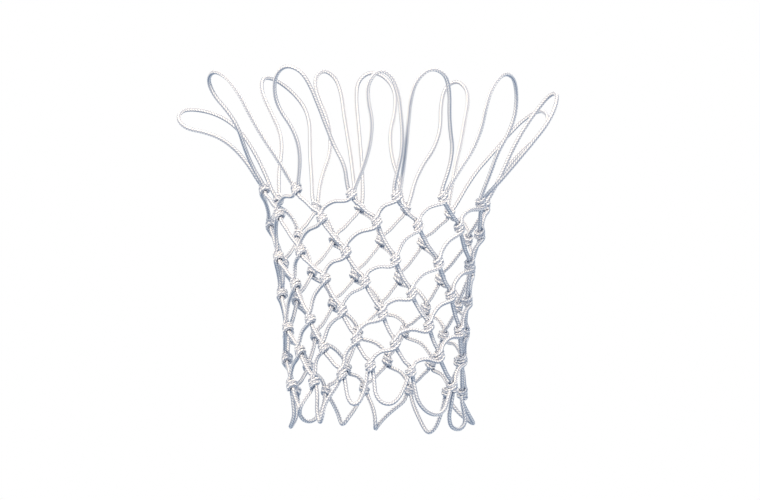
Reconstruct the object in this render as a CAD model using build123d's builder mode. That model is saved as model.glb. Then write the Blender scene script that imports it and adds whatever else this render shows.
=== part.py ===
from build123d import *
import os
from math import cos, pi, radians, sin, tan

os.makedirs("parts", exist_ok=True)

# A hoop net, hung from twelve loops. Lengths are millimetres and angles are degrees.
# The origin is the middle of the rim's hook plane, with +Z up along the tube.
# An angle round the tube starts at the front (-Y) and grows towards +X.

# The cord and its knots
CORD_DIAMETER = 6.0
KNOT_RADIUS = 8.5
GROOVE_RADIUS = 1.5
GROOVE_TILT = 20
CLEARANCE = 0.3

# Seven rows of twelve knots. The knots of each even row sit between those of the odd rows.
ROW_RADII = (157, 147, 137, 130, 127, 124, 122)
ROW_ANGLES = (
    (-80, -44, -12, 11, 37, 70, 101, 138, 164, 188, 212, 240),
    (-65, -30, 1, 24, 53, 84, 118, 153, 177, 203, 227, 262),
    (-79, -49, -17, 12, 40, 75, 104, 138, 166, 192, 220, 250),
    (-58, -32, -6, 23, 54, 82, 117, 147, 177, 207, 237, 267),
    (-73, -45, -21, 5, 36, 68, 100, 131, 161, 191, 221, 253),
    (-57, -35, -12, 13, 46, 78, 108, 141, 172, 199, 229, 262),
    (-72, -44, -22, -3, 24, 62, 92, 124, 157, 187, 214, 246),
)
ROW_HEIGHTS = (
    (-165, -173, -183, -186, -185, -187, -184, -187, -178, -175, -177, -171),
    (-204, -215, -221, -225, -224, -228, -229, -228, -224, -222, -220, -211),
    (-261, -258, -262, -273, -274, -272, -276, -282, -278, -274, -270, -265),
    (-303, -298, -303, -318, -317, -322, -323, -323, -319, -315, -312, -310),
    (-361, -353, -343, -348, -362, -365, -363, -363, -354, -355, -362, -364),
    (-396, -393, -383, -388, -402, -404, -403, -402, -396, -405, -405, -400),
    (-441, -440, -431, -420, -427, -444, -450, -444, -438, -436, -440, -443),
)

# A loop is drawn in its own plane, on the line through its two knots: across that line from
# the middle, up the plane, and proud of the plane. The plane leans out from the tube.
LEG_SPACING = 4.4  # the two legs that share a knot stay this far each side of it
LEG_START = 9.5  # from the line through the knots
TOP_LEANS = (35, 28, 24, 24, 24, 33, 37, 24, 19, 20, 22, 45)
TOP_ROUTES = (
    [(-40, 40, 2), (-22, 75, 4), (-8, 105, 3), (-14, 130, 1), (-30, 155, 0), (-25, 180, -2),
     (5, 194, -4), (36, 184, -3), (50, 158, 0), (50, 124, 3), (50, 88, 4), (51, 48, 2)],
    [(-28, 42, -2), (-24, 72, -3), (-29, 98, -2), (-40, 122, 0), (-40, 148, 3), (-30, 176, 5),
     (-8, 194, 6), (14, 186, 5), (21, 162, 2), (25, 132, 0), (28, 98, -3), (32, 70, -4),
     (43, 42, -2)],
    [(-13, 44, 3), (-4, 80, 5), (-2, 112, 4), (-8, 138, 2), (-8, 164, 0), (8, 184, -3),
     (26, 174, -4), (35, 148, -2), (38, 118, 2), (40, 92, 4), (39, 66, 4), (33, 38, 2)],
    [(-31, 44, -3), (-32, 76, -5), (-35, 110, -5), (-39, 142, -2), (-37, 172, 2), (-20, 191, 5),
     (4, 182, 6), (16, 154, 3), (22, 124, 0), (30, 96, -3), (39, 70, -4), (38, 40, -2)],
    [(-32, 42, 2), (-20, 74, 4), (-19, 108, 5), (-25, 138, 4), (-23, 168, 1), (-2, 189, -3),
     (27, 184, -5), (46, 160, -4), (53, 132, 0), (48, 104, 3), (37, 78, 4), (40, 42, 2)],
    [(-34, 42, 6), (-26, 78, 10), (-24, 112, 14), (-27, 142, 17), (-21, 168, 14), (-4, 188, 4),
     (15, 180, -6), (23, 152, -10), (22, 122, -11), (25, 88, -9), (33, 48, -3)],
    [(-46, 40, -3), (-50, 72, -5), (-62, 98, -4), (-71, 124, 0), (-62, 154, 4), (-34, 176, 7),
     (0, 187, 6), (25, 168, 3), (31, 136, 0), (34, 102, -3), (43, 72, -4), (47, 42, -2)],
    [(-29, 42, 2), (-26, 78, 4), (-27, 113, 4), (-27, 147, 1), (-28, 176, -2), (-22, 197, -4),
     (-4, 208, -5), (13, 195, -5), (15, 166, -2), (9, 132, 2), (14, 99, 4), (26, 74, 4),
     (32, 43, 2)],
    [(-22, 44, -3), (-11, 78, -5), (-8, 114, -5), (-15, 148, -2), (-14, 183, 2), (2, 207, 6),
     (24, 214, 8), (41, 197, 6), (42, 167, 2), (38, 132, -2), (34, 95, -4), (30, 50, -2)],
    [(-30, 43, 3), (-31, 79, 5), (-30, 113, 5), (-28, 147, 3), (-27, 178, 0), (-20, 201, -3),
     (-3, 212, -5), (13, 199, -5), (11, 172, -3), (0, 143, 0), (-4, 113, 3), (0, 84, 4),
     (12, 59, 4), (22, 35, 2)],
    [(-44, 43, -2), (-52, 78, -4), (-64, 110, -4), (-78, 138, 0), (-82, 168, 4), (-64, 193, 7),
     (-36, 206, 8), (-11, 201, 6), (3, 176, 3), (0, 144, 0), (-5, 112, -3), (4, 80, -4),
     (22, 46, -2)],
    [(-44, 40, -14), (-37, 72, -25), (-31, 102, -31), (-27, 132, -28), (-20, 160, -14),
     (-4, 177, 5), (14, 168, 19), (23, 147, 19), (27, 124, 4), (32, 98, -7), (39, 68, -10),
     (47, 38, -7)],
)
HEM_ROUTES = (
    [(-24, 18, -2), (-20, 31, -6), (-8, 41, 0), (8, 43, 11), (19, 34, 16), (23, 20, 8)],
    [(-18, 22, 0), (-21, 38, -3), (-20, 51, -5), (-13, 60, 0), (-6, 51, 5), (-3, 37, 5),
     (7, 24, 3)],
    [(-15, 22, 0), (-12, 36, 1), (-5, 47, 2), (5, 47, 2), (11, 35, 0), (15, 22, -1)],
    [(-23, 24, 0), (-22, 38, 1), (-14, 49, 2), (0, 50, 2), (11, 40, 1), (19, 25, 0)],
    [(-33, 20, 0), (-27, 37, -1), (-9, 48, -2), (12, 48, -2), (27, 37, -1), (32, 20, 0)],
    [(-26, 24, -3), (-20, 41, -8), (-8, 54, -7), (9, 55, 2), (20, 42, 8), (25, 23, 3)],
    [(-27, 19, 6), (-20, 33, 16), (-6, 43, 27), (11, 41, 27), (23, 30, 15), (27, 17, 5)],
    [(-27, 22, 0), (-20, 38, 1), (-11, 53, 2), (0, 60, 1), (9, 50, 0), (17, 36, -1), (26, 22, 0)],
    [(-24, 17, 0), (-9, 28, 3), (5, 40, 8), (14, 51, 8), (16, 57, 0), (15, 50, -9), (16, 37, -7),
     (21, 21, -2)],
    [(-20, 17, -1), (-11, 29, -5), (-1, 40, -8), (4, 49, -2), (4, 46, 8), (8, 33, 8),
     (17, 19, 3)],
    [(-28, 18, 0), (-22, 33, 2), (-5, 44, 3), (13, 42, 3), (25, 30, 2), (29, 16, 0)],
    [(-34, 20, -1), (-27, 38, -3), (-9, 54, 4), (11, 55, 4), (27, 41, -3), (35, 21, -1)],
)

# A strand bends at two points, which stand beside the line between its knots. All are shares of that line.
BEND_SHARES = (0.36, 0.66)
STRAIGHT_BOW = (0.03, 0.02)
SWAYING_BOW = (0.08, -0.06)

UP = Vector(0, 0, 1)
COUNT = len(TOP_ROUTES)
KNOT_REACH = KNOT_RADIUS + CLEARANCE


def knot_centre(row, place):
    """The middle of one knot, where places count round the row and wrap."""
    place %= COUNT
    angle = radians(ROW_ANGLES[row][place])
    radius = ROW_RADII[row]
    return Vector(radius * sin(angle), -radius * cos(angle), ROW_HEIGHTS[row][place])


def row_centres(row):
    return [knot_centre(row, place) for place in range(COUNT)]


def bend_radii(points):
    """The widest arc that each corner's two runs leave room for."""
    radii = []
    for before, corner, after in zip(points, points[1:], points[2:]):
        arriving = corner - before
        leaving = after - corner
        half_turn = radians(arriving.get_angle(leaving) / 2)
        radii.append(0.45 * min(arriving.length, leaving.length) / tan(half_turn))
    return radii


def lay_cord(points):
    """Adds one length of round cord to the part being built."""
    with BuildLine() as route:
        FilletPolyline(*points, radius=bend_radii(points))
    with BuildSketch(route.line ^ 0) as section:
        Circle(CORD_DIAMETER / 2)
    sweep(sections=section.sketch, path=route.line)
    return sum(edge.length for edge in route.edges())


def loop_points(first, second, route, lean, rise):
    """A loop's route between two knots: rise is 1 for a loop that stands and -1 for one that hangs."""
    span = second - first
    across = span.normalized()
    out = across.cross(UP).normalized()
    up = UP * rise * cos(radians(lean)) + out * sin(radians(lean))
    proud = out * cos(radians(lean)) - UP * rise * sin(radians(lean))
    middle = (first + second) / 2
    leg = span.length / 2 - LEG_SPACING
    route = [(-leg, LEG_START, 0), *route, (leg, LEG_START, 0)]
    return [middle + across * x + up * y + proud * z for x, y, z in route]


def strand_points(upper, lower, bow):
    """A strand's route from an upper knot to a lower one, swaying across its own line."""
    run = lower - upper
    out = Vector(upper.X + lower.X, upper.Y + lower.Y, 0)
    sideways = run.cross(out).normalized() * run.length
    first, second = (upper + run * share + sideways * bow for share, bow in zip(BEND_SHARES, bow))
    start = upper + (first - upper).normalized() * KNOT_REACH
    end = lower + (second - lower).normalized() * KNOT_REACH
    return [start, first, second, end]


def make_knot():
    """One knot: a ball of cord with a groove between its two wraps."""
    with BuildPart() as knot:
        Sphere(KNOT_RADIUS)
        with Locations(Location((0, 0, 0), (GROOVE_TILT, 0, 0))):
            Torus(KNOT_RADIUS, GROOVE_RADIUS, mode=Mode.SUBTRACT)
    return knot.part


def write(part, name):
    part.label = name
    export_step(part, f"parts/{name}.step")


def make_knot_rows():
    knot = make_knot()
    for row in range(len(ROW_RADII)):
        with BuildPart() as knots:
            with Locations(*row_centres(row)):
                add(knot)
        write(knots.part, f"knots_row_{row + 1}")


def lower_place(row, place, step):
    """The place in the next row that a strand reaches: step is 1 towards growing angles and -1 back."""
    shift = row % 2
    return place + shift if step == 1 else place + shift - 1


def make_strands():
    """Between each two rows, the twelve strands that lean one way and the twelve that cross them."""
    for row in range(len(ROW_RADII) - 1):
        for name, step, bow in (("straight", 1, STRAIGHT_BOW), ("swaying", -1, SWAYING_BOW)):
            length = 0
            radii = []
            with BuildPart() as strands:
                for place in range(COUNT):
                    lower = knot_centre(row + 1, lower_place(row, place, step))
                    points = strand_points(knot_centre(row, place), lower, bow)
                    length += lay_cord(points)
                    radii += bend_radii(points)
            write(strands.part, f"{name}_strands_{row + 1}")
            report(f"{name}_strands_{row + 1}", strands.part, length, radii)


def report(name, part, length, radii):
    """Prints a cord's length, its arcs, and its volume over its section times its length."""
    ratio = part.volume / (pi * CORD_DIAMETER**2 / 4 * length)
    arcs = " ".join(f"{radius:.0f}" for radius in radii)
    print(f"{name}: length {length:.0f}, volume ratio {ratio:.4f}, arc radii {arcs}")


def make_loops(name, row, routes, leans, rise):
    for place, (route, lean) in enumerate(zip(routes, leans)):
        first = knot_centre(row, place)
        points = loop_points(first, knot_centre(row, place + 1), route, lean, rise)
        with BuildPart() as loop:
            length = lay_cord(points)
        write(loop.part, f"{name}_{place + 1:02d}")
        report(f"{name}_{place + 1:02d}", loop.part, length, bend_radii(points))


make_knot_rows()
make_strands()
make_loops("top_loop", 0, TOP_ROUTES, TOP_LEANS, 1)
make_loops("bottom_loop", len(ROW_RADII) - 1, HEM_ROUTES, [0] * COUNT, -1)
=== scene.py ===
import math

import bpy
import numpy as np
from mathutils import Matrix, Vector


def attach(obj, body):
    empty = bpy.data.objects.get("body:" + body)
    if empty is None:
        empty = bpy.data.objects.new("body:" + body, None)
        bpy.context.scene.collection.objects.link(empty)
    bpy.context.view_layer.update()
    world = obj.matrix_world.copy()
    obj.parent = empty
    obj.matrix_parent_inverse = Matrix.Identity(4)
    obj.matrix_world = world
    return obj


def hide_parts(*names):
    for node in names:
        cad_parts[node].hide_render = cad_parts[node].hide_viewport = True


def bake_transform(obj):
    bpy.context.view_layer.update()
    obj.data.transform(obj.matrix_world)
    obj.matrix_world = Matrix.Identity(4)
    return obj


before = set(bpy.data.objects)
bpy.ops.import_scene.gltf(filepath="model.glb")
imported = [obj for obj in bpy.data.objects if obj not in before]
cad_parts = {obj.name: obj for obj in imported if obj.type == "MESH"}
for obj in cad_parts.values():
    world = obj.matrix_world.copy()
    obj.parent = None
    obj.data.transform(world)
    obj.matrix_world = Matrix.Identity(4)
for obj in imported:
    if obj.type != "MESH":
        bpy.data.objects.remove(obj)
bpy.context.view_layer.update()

# A hoop net of braided cord, hung from twelve loops. Lengths are metres.
# A row's places count round the tube from its left, seen from the front (-Y), towards +X,
# and every row's first place is just past FIRST_ANGLE.
ROWS = 7
COUNT = 12
FIRST_ANGLE = -85  # degrees from the front
CORD_DIAMETER = 0.006
KNOT_SPAN = 0.02  # wider than a knot, and narrower than the gap between two

# A loop's route is drawn in its own plane, on the line through its two knots: across that line
# from the middle, up the plane, and proud of the plane. The plane leans out from the tube.
LEG_SPACING = 0.0044  # the two legs that share a knot stay this far each side of its middle
LEG_START = 0.0095  # from the line through the knots
TAIL_SPACING = 0.0022  # a leg's end, inside its knot, is this far from the knot's middle
TOP_LEANS = (35, 28, 24, 24, 24, 33, 37, 24, 19, 20, 22, 45)
TOP_ROUTES = (
    [(-0.040, 0.040, 0.002), (-0.022, 0.075, 0.004), (-0.008, 0.105, 0.003),
     (-0.014, 0.130, 0.001), (-0.030, 0.155, 0), (-0.025, 0.180, -0.002), (0.005, 0.194, -0.004),
     (0.036, 0.184, -0.003), (0.050, 0.158, 0), (0.050, 0.124, 0.003), (0.050, 0.088, 0.004),
     (0.051, 0.048, 0.002)],
    [(-0.028, 0.042, -0.002), (-0.024, 0.072, -0.003), (-0.029, 0.098, -0.002), (-0.040, 0.122, 0),
     (-0.040, 0.148, 0.003), (-0.030, 0.176, 0.005), (-0.008, 0.194, 0.006), (0.014, 0.186, 0.005),
     (0.021, 0.162, 0.002), (0.025, 0.132, 0), (0.028, 0.098, -0.003), (0.032, 0.070, -0.004),
     (0.043, 0.042, -0.002)],
    [(-0.013, 0.044, 0.003), (-0.004, 0.080, 0.005), (-0.002, 0.112, 0.004),
     (-0.008, 0.138, 0.002), (-0.008, 0.164, 0), (0.008, 0.184, -0.003), (0.026, 0.174, -0.004),
     (0.035, 0.148, -0.002), (0.038, 0.118, 0.002), (0.040, 0.092, 0.004), (0.039, 0.066, 0.004),
     (0.033, 0.038, 0.002)],
    [(-0.031, 0.044, -0.003), (-0.032, 0.076, -0.005), (-0.035, 0.110, -0.005),
     (-0.039, 0.142, -0.002), (-0.037, 0.172, 0.002), (-0.020, 0.191, 0.005),
     (0.004, 0.182, 0.006), (0.016, 0.154, 0.003), (0.022, 0.124, 0), (0.030, 0.096, -0.003),
     (0.039, 0.070, -0.004), (0.038, 0.040, -0.002)],
    [(-0.032, 0.042, 0.002), (-0.020, 0.074, 0.004), (-0.019, 0.108, 0.005),
     (-0.025, 0.138, 0.004), (-0.023, 0.168, 0.001), (-0.002, 0.189, -0.003),
     (0.027, 0.184, -0.005), (0.046, 0.160, -0.004), (0.053, 0.132, 0), (0.048, 0.104, 0.003),
     (0.037, 0.078, 0.004), (0.040, 0.042, 0.002)],
    [(-0.034, 0.042, 0.006), (-0.026, 0.078, 0.010), (-0.024, 0.112, 0.014),
     (-0.027, 0.142, 0.017), (-0.021, 0.168, 0.014), (-0.004, 0.188, 0.004),
     (0.015, 0.180, -0.006), (0.023, 0.152, -0.010), (0.022, 0.122, -0.011),
     (0.025, 0.088, -0.009), (0.033, 0.048, -0.003)],
    [(-0.046, 0.040, -0.003), (-0.050, 0.072, -0.005), (-0.062, 0.098, -0.004), (-0.071, 0.124, 0),
     (-0.062, 0.154, 0.004), (-0.034, 0.176, 0.007), (0, 0.187, 0.006), (0.025, 0.168, 0.003),
     (0.031, 0.136, 0), (0.034, 0.102, -0.003), (0.043, 0.072, -0.004), (0.047, 0.042, -0.002)],
    [(-0.029, 0.042, 0.002), (-0.026, 0.078, 0.004), (-0.027, 0.113, 0.004),
     (-0.027, 0.147, 0.001), (-0.028, 0.176, -0.002), (-0.022, 0.197, -0.004),
     (-0.004, 0.208, -0.005), (0.013, 0.195, -0.005), (0.015, 0.166, -0.002),
     (0.009, 0.132, 0.002), (0.014, 0.099, 0.004), (0.026, 0.074, 0.004), (0.032, 0.043, 0.002)],
    [(-0.022, 0.044, -0.003), (-0.011, 0.078, -0.005), (-0.008, 0.114, -0.005),
     (-0.015, 0.148, -0.002), (-0.014, 0.183, 0.002), (0.002, 0.207, 0.006), (0.024, 0.214, 0.008),
     (0.041, 0.197, 0.006), (0.042, 0.167, 0.002), (0.038, 0.132, -0.002), (0.034, 0.095, -0.004),
     (0.030, 0.050, -0.002)],
    [(-0.030, 0.043, 0.003), (-0.031, 0.079, 0.005), (-0.030, 0.113, 0.005),
     (-0.028, 0.147, 0.003), (-0.027, 0.178, 0), (-0.020, 0.201, -0.003), (-0.003, 0.212, -0.005),
     (0.013, 0.199, -0.005), (0.011, 0.172, -0.003), (0, 0.143, 0), (-0.004, 0.113, 0.003),
     (0, 0.084, 0.004), (0.012, 0.059, 0.004), (0.022, 0.035, 0.002)],
    [(-0.044, 0.043, -0.002), (-0.052, 0.078, -0.004), (-0.064, 0.110, -0.004), (-0.078, 0.138, 0),
     (-0.082, 0.168, 0.004), (-0.064, 0.193, 0.007), (-0.036, 0.206, 0.008),
     (-0.011, 0.201, 0.006), (0.003, 0.176, 0.003), (0, 0.144, 0), (-0.005, 0.112, -0.003),
     (0.004, 0.080, -0.004), (0.022, 0.046, -0.002)],
    [(-0.044, 0.040, -0.014), (-0.037, 0.072, -0.025), (-0.031, 0.102, -0.031),
     (-0.027, 0.132, -0.028), (-0.020, 0.160, -0.014), (-0.004, 0.177, 0.005),
     (0.014, 0.168, 0.019), (0.023, 0.147, 0.019), (0.027, 0.124, 0.004), (0.032, 0.098, -0.007),
     (0.039, 0.068, -0.010), (0.047, 0.038, -0.007)],
)
HEM_ROUTES = (
    [(-0.024, 0.018, -0.002), (-0.020, 0.031, -0.006), (-0.008, 0.041, 0), (0.008, 0.043, 0.011),
     (0.019, 0.034, 0.016), (0.023, 0.020, 0.008)],
    [(-0.018, 0.022, 0), (-0.021, 0.038, -0.003), (-0.020, 0.051, -0.005), (-0.013, 0.060, 0),
     (-0.006, 0.051, 0.005), (-0.003, 0.037, 0.005), (0.007, 0.024, 0.003)],
    [(-0.015, 0.022, 0), (-0.012, 0.036, 0.001), (-0.005, 0.047, 0.002), (0.005, 0.047, 0.002),
     (0.011, 0.035, 0), (0.015, 0.022, -0.001)],
    [(-0.023, 0.024, 0), (-0.022, 0.038, 0.001), (-0.014, 0.049, 0.002), (0, 0.050, 0.002),
     (0.011, 0.040, 0.001), (0.019, 0.025, 0)],
    [(-0.033, 0.020, 0), (-0.027, 0.037, -0.001), (-0.009, 0.048, -0.002), (0.012, 0.048, -0.002),
     (0.027, 0.037, -0.001), (0.032, 0.020, 0)],
    [(-0.026, 0.024, -0.003), (-0.020, 0.041, -0.008), (-0.008, 0.054, -0.007),
     (0.009, 0.055, 0.002), (0.020, 0.042, 0.008), (0.025, 0.023, 0.003)],
    [(-0.027, 0.019, 0.006), (-0.020, 0.033, 0.016), (-0.006, 0.043, 0.027), (0.011, 0.041, 0.027),
     (0.023, 0.030, 0.015), (0.027, 0.017, 0.005)],
    [(-0.027, 0.022, 0), (-0.020, 0.038, 0.001), (-0.011, 0.053, 0.002), (0, 0.060, 0.001),
     (0.009, 0.050, 0), (0.017, 0.036, -0.001), (0.026, 0.022, 0)],
    [(-0.024, 0.017, 0), (-0.009, 0.028, 0.003), (0.005, 0.040, 0.008), (0.014, 0.051, 0.008),
     (0.016, 0.057, 0), (0.015, 0.050, -0.009), (0.016, 0.037, -0.007), (0.021, 0.021, -0.002)],
    [(-0.020, 0.017, -0.001), (-0.011, 0.029, -0.005), (-0.001, 0.040, -0.008),
     (0.004, 0.049, -0.002), (0.004, 0.046, 0.008), (0.008, 0.033, 0.008), (0.017, 0.019, 0.003)],
    [(-0.028, 0.018, 0), (-0.022, 0.033, 0.002), (-0.005, 0.044, 0.003), (0.013, 0.042, 0.003),
     (0.025, 0.030, 0.002), (0.029, 0.016, 0)],
    [(-0.034, 0.020, -0.001), (-0.027, 0.038, -0.003), (-0.009, 0.054, 0.004),
     (0.011, 0.055, 0.004), (0.027, 0.041, -0.003), (0.035, 0.021, -0.001)],
)

# A straight strand bends at two points, which stand beside the line between its knots. Both are given
# in shares of that line.
BEND_SHARES = (0.36, 0.66)
STRAIGHT_BOW = (0.03, 0.02)
KNOT_LEAD = 0.009  # how far a straight strand runs on in its knot's direction
KNOT_DROP = 0.8  # how far a knot turns its cord from the strands' slope towards straight down

SWAY_BOW = 0.14  # a swaying strand bends once, halfway, this share of its run beside it

# At a knot the swaying cord comes down on the straight one, goes twice round it and leaves sideways.
WRAP_RADIUS = 0.0056
WRAP_PITCH = 0.0049
WRAP_TILT = 0.0026  # how much lower each turn is on its left than in front, apart from its pitch
PITCH_UNEVENNESS = 0.0003  # the most by which one knot's pitch differs
TILT_UNEVENNESS = 0.0007
WRAP_COUNT = 2
STEPS_PER_TURN = 8
# From one step before the first turn to one step past the last
WRAP_TURNS = [(step - 1) / STEPS_PER_TURN for step in range(STEPS_PER_TURN * WRAP_COUNT + 3)]
# The cord's points just before and after its turns: to the knot's left, out from the tube, and
# down the straight cord from the turns' end.
ARRIVING = (-0.0082, 0.003, -0.0075)
LEAVING = (0.0105, 0.002, 0.0028)

# The braid: columns of picks that slant to and fro, each column half a pick past the next
COLUMNS = 4
PICK_LENGTH = 0.0042
POINTS_PER_COLUMN = 5
RINGS_PER_PICK = 6
PICK_SLANT = 0.9
CROWN_RADIUS = 1.05  # in radii of the cord, on the picks' crowns
BRAID_DEPTH = 0.22  # in radii, from the crowns to the grooves
SWELL = 0.02  # the cord is thicker and thinner by this share along its length
SWELL_TURN = 0.8  # radians of that for each pick

UP = Vector((0, 0, 1))


# Knots

def angle_round(centre):
    """Degrees round the tube from the first angle."""
    return (math.degrees(math.atan2(centre.x, -centre.y)) - FIRST_ANGLE) % 360


def knot_centres(row):
    """The middles of one row's knots, read from its CAD node and in the order of their places."""
    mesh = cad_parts[f"knots_row_{row + 1}"].data
    points = np.empty(len(mesh.vertices) * 3)
    mesh.vertices.foreach_get("co", points)
    points = points.reshape(-1, 3)
    centres = []
    while len(points):
        near = np.linalg.norm(points - points[0], axis=1) < KNOT_SPAN
        centres.append(Vector((points[near].min(0) + points[near].max(0)) / 2))
        points = points[~near]
    return sorted(centres, key=angle_round)


CENTRES = [knot_centres(row) for row in range(ROWS)]


def centre_of(row, place):
    """The middle of one knot, where places wrap round the row."""
    return CENTRES[row][place % COUNT]


def lower_place(row, place, step):
    """The place in the next row that a strand reaches: step is 1 towards growing angles and -1 back."""
    shift = row % 2
    return place + shift if step == 1 else place + shift - 1


def outward(point):
    """The direction straight out from the tube's axis to a point."""
    return Vector((point.x, point.y, 0)).normalized()


def knot_axis(row, place):
    """The direction of the straight cord through a knot, square to the tube's radius."""
    here = centre_of(row, place)
    axis = Vector((0, 0, -KNOT_DROP))
    if row > 0:
        axis += (here - centre_of(row - 1, place - (row - 1) % 2)).normalized() / 2
    if row < ROWS - 1:
        axis += (centre_of(row + 1, lower_place(row, place, 1)) - here).normalized() / 2
    out = outward(here)
    return (axis - out * axis.dot(out)).normalized()


def wrap_points(row, place):
    """The swaying cord's route round the straight one at a knot. At the net's edges its end tucks in."""
    here = centre_of(row, place)
    out = outward(here)
    axis = knot_axis(row, place)
    side = axis.cross(out)
    unevenness = math.sin(1.9 * place + 2.7 * row)
    tilt = WRAP_TILT + TILT_UNEVENNESS * unevenness
    pitch = WRAP_PITCH + PITCH_UNEVENNESS * unevenness
    points = []
    for turn in WRAP_TURNS:
        angle = 2 * math.pi * turn
        spoke = out * math.cos(angle) + side * math.sin(angle)
        drop = pitch * (turn - WRAP_COUNT / 2) + tilt * math.sin(angle)
        points.append(here + spoke * WRAP_RADIUS + axis * drop)
    half = WRAP_PITCH * WRAP_COUNT / 2
    left, proud, past = ARRIVING
    first = here + side * left + out * proud + axis * (past - half) if row > 0 else here
    left, proud, past = LEAVING
    last = here + side * left + out * proud + axis * (past + half) if row < ROWS - 1 else here
    return [first, *points, last]


# Routes

def straight_points(row, place):
    """Through both knots' middles, in the direction that each gives the cord, with two bends between."""
    below = lower_place(row, place, 1)
    upper = centre_of(row, place)
    lower = centre_of(row + 1, below)
    run = lower - upper
    sideways = run.cross(outward(upper + lower)).normalized() * run.length
    leaving = upper + knot_axis(row, place) * KNOT_LEAD
    bends = [upper + run * share + sideways * bow for share, bow in zip(BEND_SHARES, STRAIGHT_BOW)]
    arriving = lower - knot_axis(row + 1, below) * KNOT_LEAD
    return [upper, leaving, *bends, arriving, lower]


def swaying_bend(row, place):
    """Where the swaying cord bends between two wraps: it leaves one sideways and comes down on the next."""
    upper = wrap_points(row, place)[-1]
    lower = wrap_points(row + 1, lower_place(row, place, -1))[0]
    run = lower - upper
    sideways = run.cross(outward(upper + lower)).normalized() * run.length
    return upper + run / 2 + sideways * SWAY_BOW


def loop_points(row, place, route, lean, rise):
    """A loop's route between two knots: rise is 1 for a loop that stands and -1 for one that hangs."""
    first = centre_of(row, place)
    second = centre_of(row, place + 1)
    span = second - first
    across = span.normalized()
    out = across.cross(UP).normalized()
    up = UP * rise * math.cos(math.radians(lean)) + out * math.sin(math.radians(lean))
    proud = out * math.cos(math.radians(lean)) - UP * rise * math.sin(math.radians(lean))
    middle = (first + second) / 2
    leg = span.length / 2 - LEG_SPACING
    tail = span.length / 2 - TAIL_SPACING
    route = [(-tail, 0, 0), (-leg, LEG_START, 0), *route, (leg, LEG_START, 0), (tail, 0, 0)]
    return [middle + across * x + up * y + proud * z for x, y, z in route]


def smooth_line(points):
    """Points down the NURBS spline that has these as its control points."""
    curve = bpy.data.curves.new("line", "CURVE")
    curve.dimensions = "3D"
    curve.resolution_u = 24
    spline = curve.splines.new("NURBS")
    spline.points.add(len(points) - 1)
    for control, point in zip(spline.points, points):
        control.co = (*point, 1)
    spline.order_u = 3
    spline.use_endpoint_u = True
    mesh = bpy.data.meshes.new_from_object(bpy.data.objects.new("line", curve))
    line = np.empty(len(mesh.vertices) * 3)
    mesh.vertices.foreach_get("co", line)
    bpy.data.meshes.remove(mesh)
    bpy.data.curves.remove(curve)
    return line.reshape(-1, 3)


# Braided cord

def spaced(line, step):
    """The line again with even steps, and how far along it each point is."""
    along = np.concatenate([[0], np.cumsum(np.linalg.norm(np.diff(line, axis=0), axis=1))])
    count = max(2, round(along[-1] / step) + 1)
    places = np.linspace(0, along[-1], count)
    return np.stack([np.interp(places, along, line[:, axis]) for axis in range(3)], 1), places


def turned_frames(line):
    """Two directions square to the line at each point, which don't twist along it."""
    tangents = np.gradient(line, axis=0)
    tangents /= np.linalg.norm(tangents, axis=1)[:, None]
    normals = np.empty_like(tangents)
    askew = (0.3, 0.5, 0.81)
    normal = np.cross(tangents[0], askew)
    for i, tangent in enumerate(tangents):
        normal = normal - tangent * (normal @ tangent)
        normal /= math.sqrt(normal @ normal)
        normals[i] = normal
    return normals, np.cross(tangents, normals)


def braid_height(column, picks):
    """From 0 in the grooves between picks to 1 on their crowns."""
    share = column % 1
    parity = np.floor(column) % 2
    phase = picks + 0.5 * parity + (share - 0.5) * (1 - 2 * parity) * PICK_SLANT
    crown = 1 - (2 * (phase % 1) - 1) ** 2
    return crown * (1 - (2 * share - 1) ** 2)


def cord_rings(points):
    """A round braid's rings along a route: centres, two directions square to it, and picks along it."""
    line, along = spaced(smooth_line(points), PICK_LENGTH / RINGS_PER_PICK)
    return line, *turned_frames(line), along / PICK_LENGTH


def ring_near(line, point):
    """Which of a line's rings is nearest to a point."""
    return int(np.argmin(np.linalg.norm(line - np.array(point), axis=1)))


def cut(rings, first, last):
    """A stretch of a cord, from one ring to another."""
    return tuple(values[first:last + 1] for values in rings)


def braided_tube(name, line, normals, others, picks):
    """A round braid with its picks in the surface."""
    around = COLUMNS * POINTS_PER_COLUMN
    column = np.arange(around + 1) / POINTS_PER_COLUMN
    height = braid_height(column[None, :-1], picks[:, None])
    swell = 1 + SWELL * np.sin(picks * SWELL_TURN)
    radius = CORD_DIAMETER / 2 * (CROWN_RADIUS - BRAID_DEPTH * (1 - height)) * swell[:, None]
    angle = 2 * np.pi * column[:-1, None] / COLUMNS
    spokes = normals[:, None] * np.cos(angle) + others[:, None] * np.sin(angle)
    vertices = (line[:, None] + spokes * radius[:, :, None]).reshape(-1, 3)

    rings = len(line)
    ring, place = np.meshgrid(np.arange(rings - 1), np.arange(around), indexing="ij")
    after = (place + 1) % around
    corners = [(ring, place), (ring + 1, place), (ring + 1, after), (ring, after)]
    quads = np.stack([r * around + p for r, p in corners], -1).reshape(-1, 4)
    columns = np.stack([column[place + step] for step in (0, 0, 1, 1)], -1).reshape(-1)
    rows = np.stack([picks[ring + step] for step in (0, 1, 1, 0)], -1).reshape(-1)
    start = list(range(around - 1, -1, -1))
    end = list(range((rings - 1) * around, rings * around))

    mesh = bpy.data.meshes.new(name)
    mesh.from_pydata(vertices.tolist(), [], quads.tolist() + [start, end])
    mesh.polygons.foreach_set("use_smooth", np.ones(len(mesh.polygons), bool))
    uv = np.zeros((len(mesh.loops), 2))
    uv[: len(columns), 0] = columns
    uv[: len(rows), 1] = rows
    layer = mesh.uv_layers.new(name="Braid")
    layer.data.foreach_set("uv", uv.ravel())
    tube = bpy.data.objects.new(name, mesh)
    bpy.context.scene.collection.objects.link(tube)
    return tube


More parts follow.
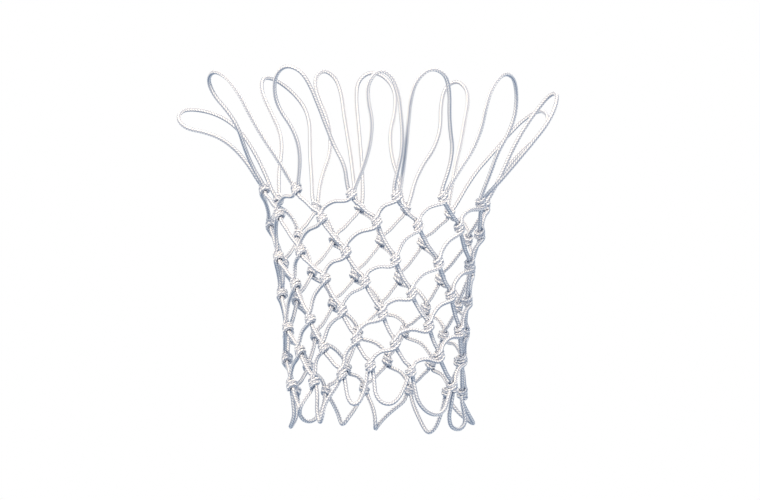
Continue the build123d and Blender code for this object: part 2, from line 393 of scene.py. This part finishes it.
def joined(tubes, name):
    """One object from many."""
    with bpy.context.temp_override(active_object=tubes[0], selected_editable_objects=tubes):
        bpy.ops.object.join()
    tubes[0].name = name
    tubes[0].data.name = name
    return tubes[0]


# Material

def feed(tree, socket, value):
    """Links a node's output to a socket, or sets the socket to a constant."""
    if isinstance(value, bpy.types.NodeSocket):
        tree.links.new(value, socket)
    else:
        socket.default_value = value


def math_node(tree, operation, *values):
    """A Math node's output, where each value is a constant or another node's output."""
    node = tree.nodes.new("ShaderNodeMath")
    node.operation = operation
    for socket, value in zip(node.inputs, values):
        feed(tree, socket, value)
    return node.outputs[0]


def colour_mix(tree, factor, first, second, blend="MIX"):
    """Two colours mixed. A Mix node takes them at inputs 6 and 7, and gives the result at output 2."""
    node = tree.nodes.new("ShaderNodeMix")
    node.data_type = "RGBA"
    node.blend_type = blend
    feed(tree, node.inputs[0], factor)
    feed(tree, node.inputs[6], first)
    feed(tree, node.inputs[7], second)
    return node.outputs[2]


def noise(tree, scale, detail, place):
    """Noise from 0 to 1 at a place on the piece."""
    node = tree.nodes.new("ShaderNodeTexNoise")
    node.inputs["Scale"].default_value = scale
    node.inputs["Detail"].default_value = detail
    tree.links.new(place, node.inputs["Vector"])
    return node.outputs["Fac"]


def dome(tree, value):
    """0 where a value is 0 or 1, and 1 halfway."""
    centred = math_node(tree, "MULTIPLY_ADD", value, 2, -1)
    return math_node(tree, "SUBTRACT", 1, math_node(tree, "MULTIPLY", centred, centred))


def braid_pattern(tree):
    """The phase of the picks over the surface and the height of their crowns, as braid_height has them."""
    braid = tree.nodes.new("ShaderNodeUVMap")
    braid.uv_map = "Braid"
    split = tree.nodes.new("ShaderNodeSeparateXYZ")
    tree.links.new(braid.outputs["UV"], split.inputs[0])
    column, picks = split.outputs["X"], split.outputs["Y"]
    share = math_node(tree, "FRACT", column)
    parity = math_node(tree, "FLOORED_MODULO", math_node(tree, "FLOOR", column), 2)
    lean = math_node(tree, "MULTIPLY_ADD", parity, -2 * PICK_SLANT, PICK_SLANT)
    slant = math_node(tree, "MULTIPLY", math_node(tree, "SUBTRACT", share, 0.5), lean)
    phase = math_node(tree, "ADD", math_node(tree, "MULTIPLY_ADD", parity, 0.5, picks), slant)
    height = math_node(tree, "MULTIPLY", dome(tree, math_node(tree, "FRACT", phase)), dome(tree, share))
    return phase, math_node(tree, "POWER", height, 0.7)


def hollow_shade(tree):
    """White in the open, through blue grey to nearly black where cords lie close together."""
    hollow = tree.nodes.new("ShaderNodeAmbientOcclusion")
    hollow.inputs["Distance"].default_value = 0.012
    hollow.samples = 8
    ramp = tree.nodes.new("ShaderNodeValToRGB")
    deep, open_air = ramp.color_ramp.elements
    deep.position = 0.18
    deep.color = (0.01, 0.02, 0.08, 1)
    open_air.position = 0.66
    open_air.color = (1, 1, 1, 1)
    ramp.color_ramp.elements.new(0.4).color = (0.36, 0.47, 0.66, 1)
    tree.links.new(hollow.outputs["AO"], ramp.inputs[0])
    return ramp.outputs[0]


def make_cord_material():
    """Warm white braid: slanting picks of fine filaments, with painted shade in the grooves and where cords
    meet.
    """
    material = bpy.data.materials.new("braided_cord")
    material.use_nodes = True
    tree = material.node_tree
    shader = tree.nodes["Principled BSDF"]
    place = tree.nodes.new("ShaderNodeTexCoord").outputs["Object"]
    patches = noise(tree, 28, 3, place)
    fuzz = noise(tree, 2600, 2, place)
    phase, crown = braid_pattern(tree)

    warm = colour_mix(tree, patches, (0.96, 0.895, 0.81, 1), (0.94, 0.905, 0.85, 1))
    # Painted shade: the grooves between the picks get a dark blue grey colour in place of their shade.
    cream_with_groove_shade = colour_mix(tree, crown, (0.15, 0.19, 0.29, 1), warm)
    shaded = colour_mix(tree, 1, cream_with_groove_shade, hollow_shade(tree), "MULTIPLY")
    tree.links.new(shaded, shader.inputs["Base Color"])

    rough = math_node(tree, "MULTIPLY_ADD", fuzz, 0.2, 0.62)
    tree.links.new(rough, shader.inputs["Roughness"])
    shader.inputs["Sheen Weight"].default_value = 0.25
    shader.inputs["Sheen Roughness"].default_value = 0.4
    shader.inputs["Specular IOR Level"].default_value = 0.35

    filaments_per_pick = 6
    turned = math_node(tree, "MULTIPLY", phase, 2 * math.pi * filaments_per_pick)
    filaments = math_node(tree, "SINE", turned)
    fine = math_node(tree, "MULTIPLY_ADD", filaments, 0.06, math_node(tree, "MULTIPLY", fuzz, 0.18))
    relief = math_node(tree, "ADD", math_node(tree, "MULTIPLY", crown, 0.5), fine)
    bump = tree.nodes.new("ShaderNodeBump")
    bump.inputs["Strength"].default_value = 0.7
    bump.inputs["Distance"].default_value = 0.0006
    tree.links.new(relief, bump.inputs["Height"])
    tree.links.new(bump.outputs["Normal"], shader.inputs["Normal"])
    return material


CORD = make_cord_material()


def dress(piece, *nodes):
    """Gives a piece the cord's material and slot, and lets it stand for its CAD nodes."""
    piece.data.materials.clear()
    piece.data.materials.append(CORD)
    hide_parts(*nodes)


# Camera

def make_camera():
    """Far off in front of the net and a little below it, so the cords show nearly without perspective."""
    data = bpy.data.cameras.new("camera")
    camera = bpy.data.objects.new("camera", data)
    bpy.context.scene.collection.objects.link(camera)
    bpy.context.scene.camera = camera
    distance = 15
    width = 1.064
    rise = math.radians(-4.5)
    target = Vector((0.007, 0, -0.249))
    camera.location = target + distance * Vector((0, -math.cos(rise), math.sin(rise)))
    camera.rotation_euler = (math.pi / 2 - rise, 0, 0)
    data.sensor_width = 36
    data.lens = data.sensor_width * distance / width
    data.clip_end = 200


# Pieces

def make_loops(name, row, routes, leans, rise):
    """Each loop is a free length of cord between two neighbouring knots."""
    for place, (route, lean) in enumerate(zip(routes, leans)):
        node = f"{name}_{place + 1:02d}"
        points = loop_points(row, place, route, lean, rise)
        rings = cord_rings(points)
        tube = braided_tube(f"{node}_cord", *rings)
        dress(tube, node)
        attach(tube, node)


def straight_cords():
    """The rings of each straight strand, by the row and place above."""
    runs = {}
    for row in range(ROWS - 1):
        for place in range(COUNT):
            runs[row, place] = cord_rings(straight_points(row, place))
    return runs


def swaying_cords():
    """The rings of each swaying cord's wraps, and of its runs between them, by the row and place above."""
    wraps = {}
    runs = {}
    for top in range(COUNT):
        place = top
        route = []
        knots = []
        for row in range(ROWS):
            wrap = wrap_points(row, place)
            route += wrap
            knots.append((row, place, wrap[0], wrap[-1]))
            if row < ROWS - 1:
                route.append(swaying_bend(row, place))
                place = lower_place(row, place, -1) % COUNT
        rings = cord_rings(route)
        left = None
        for row, place, start, end in knots:
            first = 0 if row == 0 else ring_near(rings[0], start)
            last = len(rings[0]) - 1 if row == ROWS - 1 else ring_near(rings[0], end)
            wraps[row, place] = cut(rings, first, last)
            if left:
                runs[left[0]] = cut(rings, left[1], first)
            left = (row, place), last
    return wraps, runs


def make_knots(wraps):
    """A row's knots are one piece of twelve wraps, which the row's body carries."""
    for row in range(ROWS):
        tubes = [braided_tube("wrap", *wraps[row, place]) for place in range(COUNT)]
        piece = joined(tubes, f"row_{row + 1}_knots")
        dress(piece, f"knots_row_{row + 1}")
        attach(piece, f"row_{row + 1}")


def make_strands(name, runs):
    """Each strand between two rows bends from one to the other, apart from the length held in its knots."""
    for row in range(ROWS - 1):
        tubes = []
        for place in range(COUNT):
            rings = runs[row, place]
            tube = braided_tube("strand", *rings)
            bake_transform(tube)
            tubes.append(tube)
        piece = joined(tubes, f"{name}_strands_{row + 1}_cords")
        dress(piece, f"{name}_strands_{row + 1}")


# Stage

def make_floor():
    """A wide pale floor under the net, which the net doesn't take light from."""
    bpy.ops.mesh.primitive_plane_add(size=120, location=(0, 20, -1.7))
    floor = bpy.context.object
    floor.name = "floor"
    paint = bpy.data.materials.new("floor")
    paint.use_nodes = True
    shader = paint.node_tree.nodes["Principled BSDF"]
    shader.inputs["Base Color"].default_value = (0.95, 0.92, 0.88, 1)
    shader.inputs["Roughness"].default_value = 0.9
    shader.inputs["Emission Color"].default_value = (1, 0.9, 0.78, 1)
    shader.inputs["Emission Strength"].default_value = 0.7
    floor.data.materials.append(paint)
    floor.visible_diffuse = False
    floor.visible_glossy = False


def make_world():
    """Cool soft light from all round, which shows as white behind the net."""
    world = bpy.data.worlds.new("studio")
    world.use_nodes = True
    bpy.context.scene.world = world
    nodes = world.node_tree.nodes
    links = world.node_tree.links
    sky = nodes["Background"]
    sky.inputs["Color"].default_value = (0.66, 0.8, 1, 1)
    sky.inputs["Strength"].default_value = 0.8
    white = nodes.new("ShaderNodeBackground")
    white.inputs["Color"].default_value = (1, 1, 1, 1)
    seen = nodes.new("ShaderNodeMixShader")
    rays = nodes.new("ShaderNodeLightPath")
    links.new(rays.outputs["Is Camera Ray"], seen.inputs[0])
    links.new(sky.outputs[0], seen.inputs[1])
    links.new(white.outputs[0], seen.inputs[2])
    links.new(seen.outputs[0], nodes["World Output"].inputs["Surface"])


def make_lights():
    """A warm key from high in front, a weak fill from the right and a light from behind."""
    middle = Vector((0, 0, -0.25))
    for name, place, size, power, colour in (
        ("key", (-0.5, -2.1, 1.5), 0.8, 100, (1, 0.85, 0.66)),
        ("fill", (2.4, -2.4, 0.1), 1.6, 16, (1, 0.92, 0.84)),
        ("back", (0.9, 2.6, 1.0), 1.2, 60, (1, 0.95, 0.9)),
    ):
        light = bpy.data.lights.new(name, "AREA")
        light.size = size
        light.energy = power
        light.color = colour
        lamp = bpy.data.objects.new(name, light)
        lamp.location = place
        lamp.rotation_euler = (middle - lamp.location).to_track_quat("-Z", "Y").to_euler()
        bpy.context.scene.collection.objects.link(lamp)


make_camera()
make_loops("top_loop", 0, TOP_ROUTES, TOP_LEANS, 1)
make_loops("bottom_loop", ROWS - 1, HEM_ROUTES, [0] * COUNT, -1)
swaying_wraps, swaying_runs = swaying_cords()
make_knots(swaying_wraps)
make_strands("straight", straight_cords())
make_strands("swaying", swaying_runs)
make_floor()
make_world()
make_lights()
bpy.context.scene.view_settings.view_transform = "Standard"
